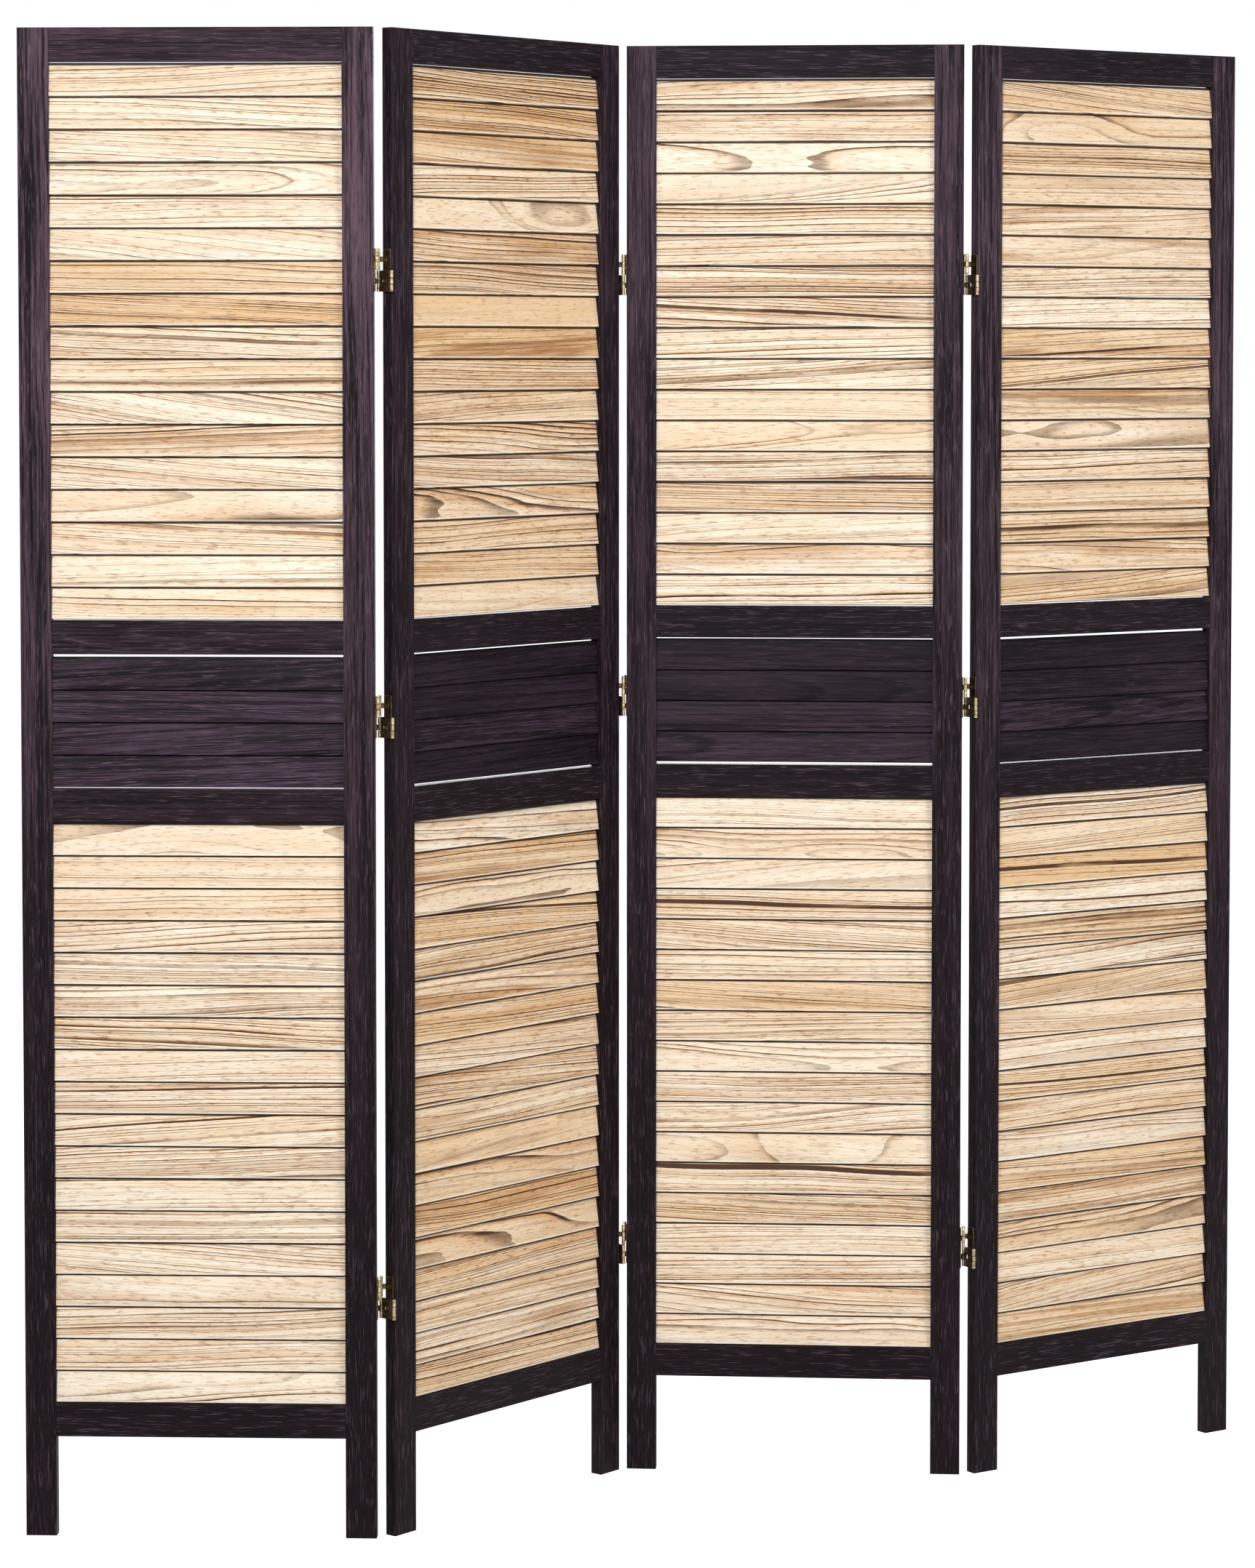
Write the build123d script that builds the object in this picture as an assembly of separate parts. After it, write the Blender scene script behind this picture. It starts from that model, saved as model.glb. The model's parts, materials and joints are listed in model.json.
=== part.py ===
# Folding louvred screen: four panels in a zigzag, joined by two-way hinges.
# Sizes are in millimetres. X runs along the screen, Y points away from the viewer,
# Z is up, and the floor is at Z = 0.
from build123d import *
import os
from math import asin, cos, degrees, pi, radians, sin

# How the screen stands, in degrees seen from above. A fold above zero brings
# two backs together, and one below zero brings two fronts together.
first_panel_turn = -2.5
fold_angles = (52.6, -54.7, 37.9)

# Panel frame
panel_width = 398.0
stile_width = 35.0
rail_height = 38.0
leg_height = 113.6
edge_chamfer = 1.0
tenon_length = 18.0
tenon_thickness = 6.0
tenon_shoulder = 4.0
mortise_end_gap = 0.5

# Louvre slats. Each leans back from its lower front edge, over the one below.
slat_height = 37.2
slat_thickness = 4.5
slat_pitch = 36.55
slat_lap_gap = 0.6
slat_setback = 3.0
slat_back_cover = 2.35
slat_housing = 6.0
slat_end_gap = 0.3

# Fields of slats from the floor up, and the gaps that each leaves to its rails
lower_slat_count = 18
middle_slat_count = 4
upper_slat_count = 17
gaps_below_slats = (0.2, 2.4, 0.2)
gaps_above_slats = (0.3, 1.6, 1.5)
rail_names = ("bottom_rail", "lower_middle_rail", "upper_middle_rail", "top_rail")

# Two-way hinges. Two pivot axes stand off the front and back faces, midway
# between the stiles.
hinge_heights = (272.0, 930.0, 1430.0)
hinge_gap = 7.8
axis_standoff = 2.4
barrel_diameter = 4.2
barrel_sides = 8
pin_diameter = 2.0
pin_sides = 6
pin_clearance = 0.08
link_knuckle = 8.3
leaf_knuckle = 6.5
knuckle_gap = 0.3
sheet_thickness = 1.2
leaf_width = 11.5
link_window = 0.6
screw_access_diameter = 8.0
screw_access_sides = 8

# Sizes that follow from the ones above
slat_tilt = asin((slat_thickness + slat_lap_gap) / slat_pitch)
slat_rise = slat_height * cos(slat_tilt)
slat_lean = slat_height * sin(slat_tilt)
slat_drop = slat_thickness * sin(slat_tilt)
slat_depth = slat_thickness * cos(slat_tilt)
frame_thickness = slat_setback + slat_lean + slat_depth + slat_back_cover
slat_counts = {
    "lower_slats": lower_slat_count,
    "middle_slats": middle_slat_count,
    "upper_slats": upper_slat_count,
}
half_gap = hinge_gap / 2
front_axis = -axis_standoff
back_axis = frame_thickness + axis_standoff
half_hinge = 2 * link_knuckle + leaf_knuckle + 2 * knuckle_gap
leaf_height = 2 * (half_hinge + knuckle_gap)


def block(x, y, z):
    """A box between two values of x, y and z."""
    size = (x[1] - x[0], y[1] - y[0], z[1] - z[0])
    corner = Pos(x[0], y[0], z[0])
    return corner * Box(*size, align=(Align.MIN, Align.MIN, Align.MIN))


def stack_levels():
    """The bottom of each rail, and the lower front edge of every slat."""
    rails = [leg_height]
    slats = {}
    fields = zip(slat_counts, slat_counts.values(), gaps_below_slats, gaps_above_slats)
    for name, count, gap_below, gap_above in fields:
        lowest = rails[-1] + rail_height + gap_below + slat_drop
        slats[name] = [lowest + k * slat_pitch for k in range(count)]
        rails.append(slats[name][-1] + slat_rise + gap_above)
    return rails, slats


rail_levels, slat_levels = stack_levels()
panel_height = rail_levels[-1] + rail_height


def slat(level, start, end):
    """A leaning slat between two values of x, with its front edge at a level."""
    front = (slat_setback, level)
    top = (slat_setback + slat_lean, level + slat_rise)
    back = (slat_setback + slat_depth, level - slat_drop)
    top_back = (top[0] + slat_depth, top[1] - slat_drop)
    outline = Polygon(front, back, top_back, top, align=None)
    return extrude(Plane.YZ.offset(start) * outline, end - start)


def rail(bottom):
    """A rail across the panel, with a stub tenon at each end."""
    top = bottom + rail_height
    middle = frame_thickness / 2
    body = block(
        (stile_width, panel_width - stile_width),
        (0, frame_thickness),
        (bottom, top),
    )
    tenons = block(
        (stile_width - tenon_length, panel_width - stile_width + tenon_length),
        (middle - tenon_thickness / 2, middle + tenon_thickness / 2),
        (bottom + tenon_shoulder, top - tenon_shoulder),
    )
    return body + tenons


def left_stile():
    """The left stile, with mortises for the rails and a groove for every slat."""
    post = block((0, stile_width), (0, frame_thickness), (0, panel_height))
    outer = post.edges().filter_by(Axis.Z).group_by(Axis.X)[0]
    post = chamfer(outer, edge_chamfer)
    middle = frame_thickness / 2
    pockets = []
    for bottom in rail_levels:
        pockets.append(
            block(
                (stile_width - tenon_length - mortise_end_gap, stile_width),
                (middle - tenon_thickness / 2, middle + tenon_thickness / 2),
                (bottom + tenon_shoulder, bottom + rail_height - tenon_shoulder),
            )
        )
    groove_start = stile_width - slat_housing - slat_end_gap
    for levels in slat_levels.values():
        for level in levels:
            pockets.append(slat(level, groove_start, stile_width))
    return post - pockets


def bar(y, z, length, diameter, sides):
    """A straight bar along a pivot axis, from z up, with flat sides."""
    outline = RegularPolygon(diameter / 2, sides)
    return extrude(Pos(0, y, z) * outline, length)


# A hinge is drawn at the middle of the gap: x is 0 midway between the stiles,
# y is 0 at the panels' front faces and z is 0 at the hinge's middle.
loose_bore = (pin_diameter + 2 * pin_clearance) / cos(pi / pin_sides)
upper_start = knuckle_gap
lower_start = -knuckle_gap - half_hinge


def left_leaf():
    """The left leaf. Its upper knuckle is in front and its lower one behind."""
    middle = frame_thickness / 2
    plate = block(
        (-half_gap, -half_gap + sheet_thickness),
        (middle - leaf_width / 2, middle + leaf_width / 2),
        (-leaf_height / 2, leaf_height / 2),
    )
    leaf = plate
    for start, y, side in ((upper_start, front_axis, -1), (lower_start, back_axis, 1)):
        z = start + link_knuckle + knuckle_gap
        edge = middle + side * leaf_width / 2
        tab_outline = Polygon(
            (-half_gap, edge - side * sheet_thickness),
            (-half_gap + sheet_thickness, edge - side * sheet_thickness),
            (sheet_thickness / 2, y),
            (-sheet_thickness / 2, y),
            align=None,
        )
        leaf += extrude(Pos(0, 0, z) * tab_outline, leaf_knuckle, dir=(0, 0, 1))
        leaf += bar(y, z, leaf_knuckle, barrel_diameter, barrel_sides)
        leaf -= bar(y, z, leaf_knuckle, loose_bore, pin_sides)
    return leaf


def link(start):
    """A link plate between the two axes, with a pin and two knuckles on each axis."""
    plate = block(
        (-sheet_thickness / 2, sheet_thickness / 2),
        (front_axis, back_axis),
        (start, start + half_hinge),
    )
    window_start = start + link_knuckle
    window_height = leaf_knuckle + 2 * knuckle_gap
    reach = barrel_diameter / 2 + link_window
    body = plate
    for y in (front_axis, back_axis):
        body += bar(y, start, half_hinge, barrel_diameter, barrel_sides)
    for y in (front_axis, back_axis):
        body -= block(
            (-reach, reach),
            (y - reach, y + reach),
            (window_start, window_start + window_height),
        )
        body += bar(y, window_start, window_height, pin_diameter, pin_sides)
    centre = Pos(0, frame_thickness / 2, start + half_hinge / 2)
    access = RegularPolygon(screw_access_diameter / 2, screw_access_sides)
    return body - centre * Rot(0, 90, 0) * extrude(access, sheet_thickness, both=True)


def hinge_line(solids):
    """Copies of a hinge's solids at each hinge height."""
    return [Pos(0, 0, height) * solid for height in hinge_heights for solid in solids]


def next_place(place, fold):
    """Where the next panel stands, and the pivot that it turns about."""
    axis = back_axis if fold > 0 else front_axis
    pivot = place * Pos(panel_width + half_gap, axis, 0)
    return pivot * Rot(0, 0, fold) * Pos(half_gap, -axis, 0), pivot


def build_nodes():
    """Every node's solids in place, and the pivot of each fold."""
    stile = left_stile()
    other_stile = mirror(stile, Plane.YZ.offset(panel_width / 2))
    slat_ends = (stile_width - slat_housing, panel_width - stile_width + slat_housing)
    panel = {"left_stile": [stile], "right_stile": [other_stile]}
    for name, bottom in zip(rail_names, rail_levels):
        panel[name] = [rail(bottom)]
    for name, levels in slat_levels.items():
        panel[name] = [slat(level, *slat_ends) for level in levels]

    # The right leaf is the left one turned half round the middle of the gap.
    leaf = left_leaf()
    half_turn = Pos(0, frame_thickness, 0) * Rot(0, 0, 180)
    gap = {
        "left_leaves": hinge_line([leaf]),
        "right_leaves": hinge_line([half_turn * leaf]),
        "upper_links_with_pins": hinge_line([link(upper_start)]),
        "lower_links_with_pins": hinge_line([link(lower_start)]),
    }

    nodes = {}
    pivots = []
    place = Rot(0, 0, first_panel_turn)
    for number in range(1, len(fold_angles) + 2):
        for name, solids in panel.items():
            nodes[f"panel_{number}_{name}"] = [place * solid for solid in solids]
        if number > len(fold_angles):
            break
        fold = fold_angles[number - 1]
        following, pivot = next_place(place, fold)
        on_left = place * Pos(panel_width + half_gap, 0, 0)
        on_right = following * Pos(-half_gap, 0, 0)
        # The links that stay with the left panel are the upper ones when the
        # backs come together, and the lower ones when the fronts do.
        upper = on_left if fold > 0 else on_right
        lower = on_right if fold > 0 else on_left
        sides = (on_left, on_right, upper, lower)
        for side, (name, solids) in zip(sides, gap.items()):
            label = f"hinges_{number}_{number + 1}_{name}"
            nodes[label] = [side * solid for solid in solids]
        pivots.append(pivot)
        place = following
    return nodes, pivots


nodes, pivots = build_nodes()

# The origin is on the floor, below the middle of the whole screen.
whole = Compound([solid for solids in nodes.values() for solid in solids]).bounding_box()
centre = whole.center()
to_origin = Pos(-centre.X, -centre.Y, 0)
pivot_points = [(to_origin * pivot).position for pivot in pivots]
foot_point = (to_origin * Rot(0, 0, first_panel_turn)
              * Pos(stile_width / 2, frame_thickness / 2, 0)).position

os.makedirs("parts", exist_ok=True)
for name, solids in nodes.items():
    export_step(to_origin * Compound(solids), f"parts/{name}.step")

print("panel height", round(panel_height, 1), "frame thickness", round(frame_thickness, 2))
print("slat tilt in degrees", round(degrees(slat_tilt), 2))
for point in pivot_points:
    print("fold pivot", round(point.X, 3), round(point.Y, 3))
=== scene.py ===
import json
import math
import random

import bmesh
import bpy
import numpy as np
from mathutils import Matrix, Vector
from mathutils.geometry import tessellate_polygon

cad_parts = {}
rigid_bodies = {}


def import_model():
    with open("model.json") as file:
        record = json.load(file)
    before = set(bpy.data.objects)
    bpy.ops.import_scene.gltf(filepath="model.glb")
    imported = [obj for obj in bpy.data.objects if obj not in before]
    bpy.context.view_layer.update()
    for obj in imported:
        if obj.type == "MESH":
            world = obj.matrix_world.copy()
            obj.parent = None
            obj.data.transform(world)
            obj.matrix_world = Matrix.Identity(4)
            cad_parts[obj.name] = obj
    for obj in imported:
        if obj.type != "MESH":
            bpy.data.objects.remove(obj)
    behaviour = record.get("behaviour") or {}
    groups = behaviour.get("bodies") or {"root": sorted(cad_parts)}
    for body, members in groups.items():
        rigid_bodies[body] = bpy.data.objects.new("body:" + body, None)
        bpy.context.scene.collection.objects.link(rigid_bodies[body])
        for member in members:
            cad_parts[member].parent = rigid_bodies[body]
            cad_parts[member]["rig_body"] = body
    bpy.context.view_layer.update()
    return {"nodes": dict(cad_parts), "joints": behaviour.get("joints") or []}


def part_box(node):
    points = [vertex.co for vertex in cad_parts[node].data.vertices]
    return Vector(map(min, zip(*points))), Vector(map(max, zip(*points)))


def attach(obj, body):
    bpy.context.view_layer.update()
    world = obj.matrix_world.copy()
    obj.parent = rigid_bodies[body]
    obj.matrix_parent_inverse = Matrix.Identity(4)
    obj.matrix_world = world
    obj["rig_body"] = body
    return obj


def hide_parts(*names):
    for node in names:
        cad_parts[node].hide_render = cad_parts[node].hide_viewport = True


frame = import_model()

MM = 0.001

# Panel sizes, as in the frame
PANEL_WIDTH = 398 * MM
PANEL_THICKNESS = 15 * MM
STILE_WIDTH = 35 * MM
FIRST_PANEL_TURN = math.radians(-2.5)

# Slats, which lean back from their lower front edges
SLAT_HEIGHT = 37.2 * MM
SLAT_THICKNESS = 4.5 * MM
SLAT_PITCH = 36.55 * MM
SLAT_LAP_GAP = 0.6 * MM
SLAT_SETBACK = 3.0 * MM
SLAT_HOUSING = 5.6 * MM
SLAT_ROUNDING = 0.7 * MM
SLAT_STEPS = 16
SLAT_SHARP_ANGLE = math.radians(40)
SLAT_COUNTS = {"lower_slats": 18, "middle_slats": 4, "upper_slats": 17}
SLAT_START = STILE_WIDTH - SLAT_HOUSING
SLAT_LENGTH = PANEL_WIDTH - 2 * SLAT_START
SLAT_TILT = math.asin((SLAT_THICKNESS + SLAT_LAP_GAP) / SLAT_PITCH)
COS_TILT = math.cos(SLAT_TILT)
SIN_TILT = math.sin(SLAT_TILT)

# How far each panel's slats sit below their middle places in their loose grooves, and
# the most that one slat bows, twists and stands higher at one end
SLAT_SLIPS = {
    "lower_slats": (0.0, 0.0, 0.0, 0.0),
    "middle_slats": (1.3 * MM, 0.5 * MM, 0.0, 1.3 * MM),
    "upper_slats": (-0.7 * MM, -0.7 * MM, -0.7 * MM, -0.7 * MM),
}
MOST_BOW = 0.5 * MM
MOST_TWIST = 0.25 * MM
MOST_LIFT = 0.3 * MM

# Hinges. A hinge's own frame has x 0 midway between the stiles, y 0 at the front
# faces and z 0 at its middle. These lengths are in millimetres.
HINGE_HEIGHTS = (272, 930, 1430)
HALF_GAP = 3.9
AXIS_STANDOFF = 2.4
SHEET = 1.2
SHEET_EDGE = 0.25
LEAF_WIDTH = 11.5
LEAF_HEIGHT = 48.0
LEAF_ROUNDING = 1.5
LINK_HEIGHT = 23.7
LINK_STARTS = {"upper": 0.3, "lower": -24.0}
LINK_KNUCKLE = 8.3
LEAF_KNUCKLE = 6.5
KNUCKLE_GAP = 0.3
KNUCKLE_SOFTNESS = 0.35
BARREL_RADIUS = 2.1
PIN_RADIUS = 1.0
WINDOW_MARGIN = 0.6
ACCESS_RADIUS = 4.0
TAB_START = 1.0
TAB_END = 0.7 * BARREL_RADIUS
TAB_PLAY = 0.1
TAB_STEPS = 8
SCREW_RADIUS = 2.8
SCREW_NECK_RADIUS = 0.9 * SCREW_RADIUS
SCREW_PLAY = 0.1
SCREW_FACE = 0.2
CROSS_DEPTH = 0.8
CROSS_ARM = 0.62 * SCREW_RADIUS
CROSS_HALF_WIDTH = 0.16 * SCREW_RADIUS
ROUND_STEPS = 28
CORNER_STEPS = 4
METAL_SHARP_ANGLE = math.radians(30)

# The photograph's camera, solved on the corners of the panels
CAMERA_PLACE = (-0.0692, -5.2884, 1.3383)
CAMERA_PITCH = math.radians(2.8)
CAMERA_TURN = math.radians(-0.403)
IMAGE_HEIGHT = 2156
FOCAL_PIXELS = 6193.5
AXIS_ROW = 787.4
SENSOR_SIZE = 36.0

# Soft boxes: where each stands, what it points at, its width and height, and its watts
LAMPS = {
    "key": ((-0.8, -4.4, 2.9), (0, 0, 0.9), (1.6, 1.0), 134),
    "fill": ((3.2, -3.0, 2.0), (0, 0, 0.85), (1.6, 1.6), 70),
    "back": ((0.4, 4.4, 2.4), (0, 0, 0.85), (2.0, 1.6), 110),
}
WORLD_LEVEL = 0.3
FLOOR_REACH = 30.0
FLOOR_GREY = 0.5
FLOOR_GLOW = 0.88


def panel_places():
    """Each panel's own frame as a matrix, worked out from the fold joints."""
    turns = [FIRST_PANEL_TURN]
    corners = []
    half_gap = HALF_GAP * MM
    standoff = AXIS_STANDOFF * MM
    for joint in frame["joints"]:
        fold = -math.radians(joint["range_deg"][0]) * joint["axis"][2]
        axis_y = PANEL_THICKNESS + standoff if fold > 0 else -standoff
        pivot = Vector((joint["pos_m"][0], joint["pos_m"][1], 0))
        if not corners:
            reach = Vector((PANEL_WIDTH + half_gap, axis_y, 0))
            corners.append(pivot - Matrix.Rotation(turns[0], 3, "Z") @ reach)
        turns.append(turns[-1] + fold)
        back = Vector((-half_gap, axis_y, 0))
        corners.append(pivot - Matrix.Rotation(turns[-1], 3, "Z") @ back)
    return [
        Matrix.Translation(corner) @ Matrix.Rotation(turn, 4, "Z")
        for corner, turn in zip(corners, turns)
    ]


PLACES = panel_places()


def add_object(name, data):
    """A new object in the scene."""
    made = bpy.data.objects.new(name, data)
    bpy.context.scene.collection.objects.link(made)
    return made


def split_sharp_edges(piece, angle):
    """Keeps the edges that are sharper than an angle crisp under smooth shading."""
    sharp = piece.modifiers.new("edges", "EDGE_SPLIT")
    sharp.split_angle = angle


# Materials


class Shader:
    """A node tree, with short calls that add and link nodes."""

    def __init__(self, tree):
        self.nodes = tree.nodes
        self.links = tree.links

    def put(self, socket, value):
        """Links an output to an input socket, or sets the socket to a constant."""
        if isinstance(value, bpy.types.NodeSocket):
            self.links.new(value, socket)
        elif value is not None:
            socket.default_value = value

    def surface(self, name, value):
        """Sets an input of the material's Principled node."""
        self.put(self.nodes["Principled BSDF"].inputs[name], value)

    def node(self, kind, **settings):
        made = self.nodes.new(kind)
        for name, value in settings.items():
            setattr(made, name, value)
        return made

    def math(self, operation, a, b=None, c=None, clamp=False):
        made = self.node("ShaderNodeMath", operation=operation, use_clamp=clamp)
        for socket, value in zip(made.inputs, (a, b, c)):
            self.put(socket, value)
        return made.outputs[0]

    def times(self, a, b, clamp=False):
        return self.math("MULTIPLY", a, b, clamp=clamp)

    def linear(self, value, factor, offset, clamp=False):
        return self.math("MULTIPLY_ADD", value, factor, offset, clamp=clamp)

    def inverse(self, share):
        return self.math("SUBTRACT", 1.0, share)

    def vector(self, operation, a, b=None):
        made = self.node("ShaderNodeVectorMath", operation=operation)
        self.put(made.inputs[0], a)
        self.put(made.inputs[1], b)
        return made.outputs["Value" if operation == "LENGTH" else "Vector"]

    def join(self, x, y, z):
        made = self.node("ShaderNodeCombineXYZ")
        for socket, value in zip(made.inputs, (x, y, z)):
            self.put(socket, value)
        return made.outputs[0]

    def split(self, vector):
        made = self.node("ShaderNodeSeparateXYZ")
        self.put(made.inputs[0], vector)
        return made.outputs[:3]

    def attribute(self, name):
        made = self.node("ShaderNodeAttribute", attribute_name=name)
        return made.outputs["Vector"]

    def noise(self, vector, kind):
        """Noise of a kind: its fineness along each axis per metre, detail and roughness."""
        stretch, detail, roughness = kind
        made = self.node("ShaderNodeTexNoise", noise_dimensions="3D")
        self.put(made.inputs["Vector"], self.vector("MULTIPLY", vector, stretch))
        self.put(made.inputs["Scale"], 1.0)
        self.put(made.inputs["Detail"], detail)
        self.put(made.inputs["Roughness"], roughness)
        return made.outputs[0]

    def line_noise(self, value, fineness):
        """Soft noise along one number."""
        made = self.node("ShaderNodeTexNoise", noise_dimensions="1D")
        self.put(made.inputs["W"], value)
        self.put(made.inputs["Scale"], fineness)
        self.put(made.inputs["Detail"], 1.0)
        return made.outputs[0]

    def chance(self, value):
        """A steady random share for each value."""
        made = self.node("ShaderNodeTexWhiteNoise", noise_dimensions="1D")
        self.put(made.inputs["W"], value)
        return made.outputs[0]

    def between(self, value, start, end):
        """0 at start and before it, 1 at end and beyond it, and smooth in between."""
        made = self.node("ShaderNodeMapRange", interpolation_type="SMOOTHSTEP")
        self.put(made.inputs["Value"], value)
        self.put(made.inputs["From Min"], start)
        self.put(made.inputs["From Max"], end)
        return made.outputs[0]

    def mix(self, share, a, b):
        """The colour a, with a share of it turned into b."""
        made = self.node("ShaderNodeMix", data_type="RGBA", blend_type="MIX")
        self.put(made.inputs[0], share)
        self.put(made.inputs[6], a)
        self.put(made.inputs[7], b)
        return made.outputs[2]

    def bump(self, height, depth, strength):
        made = self.node("ShaderNodeBump")
        self.put(made.inputs["Strength"], strength)
        self.put(made.inputs["Distance"], depth)
        self.put(made.inputs["Height"], height)
        return made.outputs[0]


def new_material(name):
    """A new material and the shader calls for its node tree."""
    material = bpy.data.materials.new(name)
    material.use_nodes = True
    return material, Shader(material.node_tree)


def colour(red, green, blue):
    """A colour given as it reads on screen, 0 to 255, as linear light."""
    levels = [c / 255 for c in (red, green, blue)]
    linear = [c / 12.92 if c < 0.04045 else ((c + 0.055) / 1.055) ** 2.4 for c in levels]
    return (*linear, 1)


# Noises over the grain, which runs along x: their fineness along and across it per
# metre, their detail and their roughness
RING_WANDER = ((2.6, 14.0, 14.0), 1.0, 0.5)
RING_RIPPLE = ((9.0, 55.0, 55.0), 2.0, 0.5)
LINE_PATCHES = ((6.0, 60.0, 60.0), 2.0, 0.5)
PORES = ((70.0, 520.0, 520.0), 2.0, 0.6)
FIBRE = ((16.0, 330.0, 330.0), 3.0, 0.65)
WARM_CLOUD = ((4.5, 42.0, 42.0), 2.0, 0.55)
BLOTCHES = ((3.4, 46.0, 46.0), 3.0, 0.6)
STRIPES = ((2.2, 170.0, 170.0), 2.0, 0.6)
STAIN_STREAKS = ((6.0, 300.0, 300.0), 3.0, 0.65)
STAIN_PORES = ((34.0, 620.0, 620.0), 2.0, 0.6)
STAIN_CLOUD = ((4.0, 26.0, 26.0), 2.0, 0.5)

# Noises over the hinges, alike along each axis
TARNISH = ((260.0, 260.0, 260.0), 3.0, 0.6)
SPECKS = ((1400.0, 1400.0, 1400.0), 2.0, 0.6)

# Growth rings: how the radius grows along the trunk, how far the noises push it, and
# how many rings wide the uneven growth is
RING_TAPER = 0.012
WANDER_SIZE = 0.020
RIPPLE_SIZE = 0.0022
UNEVEN_FINENESS = 95.0
UNEVEN_RINGS = 3.0

# The line at the end of each ring: its dark core, its least width and what chance adds
# to it, the widths that the warm shade before it takes, its least strength and what
# chance adds to that, and how faint it gets in patches and on level rings
LINE_CORE = 0.3 * MM
LINE_WIDTH = 0.7 * MM
LINE_WIDTH_CHANCE = 1.3 * MM
SHADE_WIDTHS = 3.0
LINE_STRENGTH = 0.3
LINE_STRENGTH_CHANCE = 1.2
FAINTEST = 0.35
PATCH_RANGE = (0.28, 0.60)
STEEP_RANGE = (0.05, 0.55)

# Natural wood: its colours, where its features start and are full, how much of the
# wood each covers, and its surface
PALE_WOOD = colour(255, 245, 226)
HONEY_WOOD = colour(233, 197, 150)
WARM_WOOD = colour(214, 164, 108)
BROWN_WOOD = colour(164, 112, 66)
WEATHERED_WOOD = colour(168, 158, 148)
RING_WOOD = colour(72, 46, 30)
# A painted highlight along each slat's lower edge, partly paler wood at the cut edge
EDGE_HIGHLIGHT_WOOD = colour(255, 252, 242)
# Painted shade in the lap at each slat's top, under the slat above
LAP_PAINTED_SHADE = colour(40, 25, 17)
STREAK_SHIFT = (3.1, 0.7, 0.2)
PORE_RANGE = (0.53, 0.68)
PORE_COVER = 0.42
PORE_COVER_IN_SHADE = 0.5
SHADE_COVER = 0.75
FIBRE_FACTOR = 1.8
FIBRE_OFFSET = -0.72
# Where the painted highlight on each slat's lower edge rises and fades, and how much it covers
EDGE_HIGHLIGHT_RISE = (0.3 * MM, 0.8 * MM)
EDGE_HIGHLIGHT_FALL = (2.4 * MM, 1.6 * MM)
EDGE_HIGHLIGHT_COVER = 0.55
# Where the painted shade in each slat's lap starts and is full, and how much it covers
NATURAL_LAP_SHADE_RANGE = (33.6 * MM, 34.6 * MM)
NATURAL_LAP_SHADE_COVER = 0.94
NATURAL_ROUGHNESS = 0.5
NATURAL_ROUGHNESS_SPREAD = 0.2
NATURAL_SPECULAR = 0.2
NATURAL_RELIEF = 0.25 * MM
NATURAL_RELIEF_STRENGTH = 0.6
FIBRE_RELIEF = 0.4
PORE_RELIEF = 0.5

# Dark stain: its colours, the weights of the noises and rings in its streaks, where its
# features start and are full, how much each covers, and its surface
STAIN_SHADE = colour(17, 10, 14)
# The frames' stain low down, where no painted sheen lightens it
STAIN_UNDER_PAINTED_SHEEN = colour(29, 19, 24)
STAIN_RUBBED = colour(150, 130, 144)
STAIN_PORE = colour(14, 10, 12)
STAIN_JOINT = colour(10, 7, 9)
SLAT_STAIN_LIGHT = colour(80, 62, 78)
SLAT_STAIN_SHADE = colour(14, 8, 13)
# Painted shade in the lap at each stained slat's top
SLAT_STAIN_LAP_SHADE = colour(8, 6, 7)
STREAK_WEIGHT = 1.5
CLOUD_WEIGHT = 0.8
LATE_WOOD_WEIGHT = -0.28
LATE_WOOD_START = (0.7, 1.0)
LATE_WOOD_END = (0.15, 0.0)
STREAK_RANGE = (0.78, 1.5)
RUBBED_RANGE = (0.56, 0.68)
RUBBED_COVER = 0.5
RUBBED_TINT = 0.3
OPEN_PORE_RANGE = (0.44, 0.34)
OPEN_PORE_COVER = 0.6
STAIN_ROUGHNESS = 0.40
STAIN_ROUGHNESS_SPREAD = 0.25
STAIN_SPECULAR = 0.08
STAIN_RELIEF = 0.3 * MM
STAIN_RELIEF_STRENGTH = 0.7
STAIN_PORE_RELIEF = 0.7
# How much each panel's painted shade darkens its stained slats
PANEL_SHADE_COVER = 0.75
# Where the painted shade in each stained slat's lap starts and is full, and how much it covers
STAINED_LAP_SHADE_RANGE = (34.4 * MM, 35.4 * MM)
STAINED_LAP_SHADE_COVER = 0.85

# Frames: the heights between which a painted sheen lightens the stain towards the top,
# the hairline at a rail's end, the shift in the log for each member's number, and the
# light streaks of each panel's stiles and rails, with that panel's painted light and shade
# Painted sheen: the heights between which the frames' stain is painted lighter
PAINTED_SHEEN_HEIGHTS = (0.3, 1.6)
JOINT_START = 0.9 * MM
JOINT_END = 0.2 * MM
JOINT_COVER = 0.7
MEMBER_SHIFT = (0.731, 0.173, 0.119)
FRAME_RINGS_PER_METRE = 150.0
# Each panel's stile and rail colours carry painted light and shade, for how the lamps fall on that
# panel.
FRAME_PAINTED_LIGHTS = {
    1: (colour(98, 77, 89), colour(72, 55, 65)),
    2: (colour(54, 40, 50), colour(34, 25, 32)),
    3: (colour(78, 61, 72), colour(40, 31, 39)),
    4: (colour(86, 68, 79), colour(38, 29, 35)),
}


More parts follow.
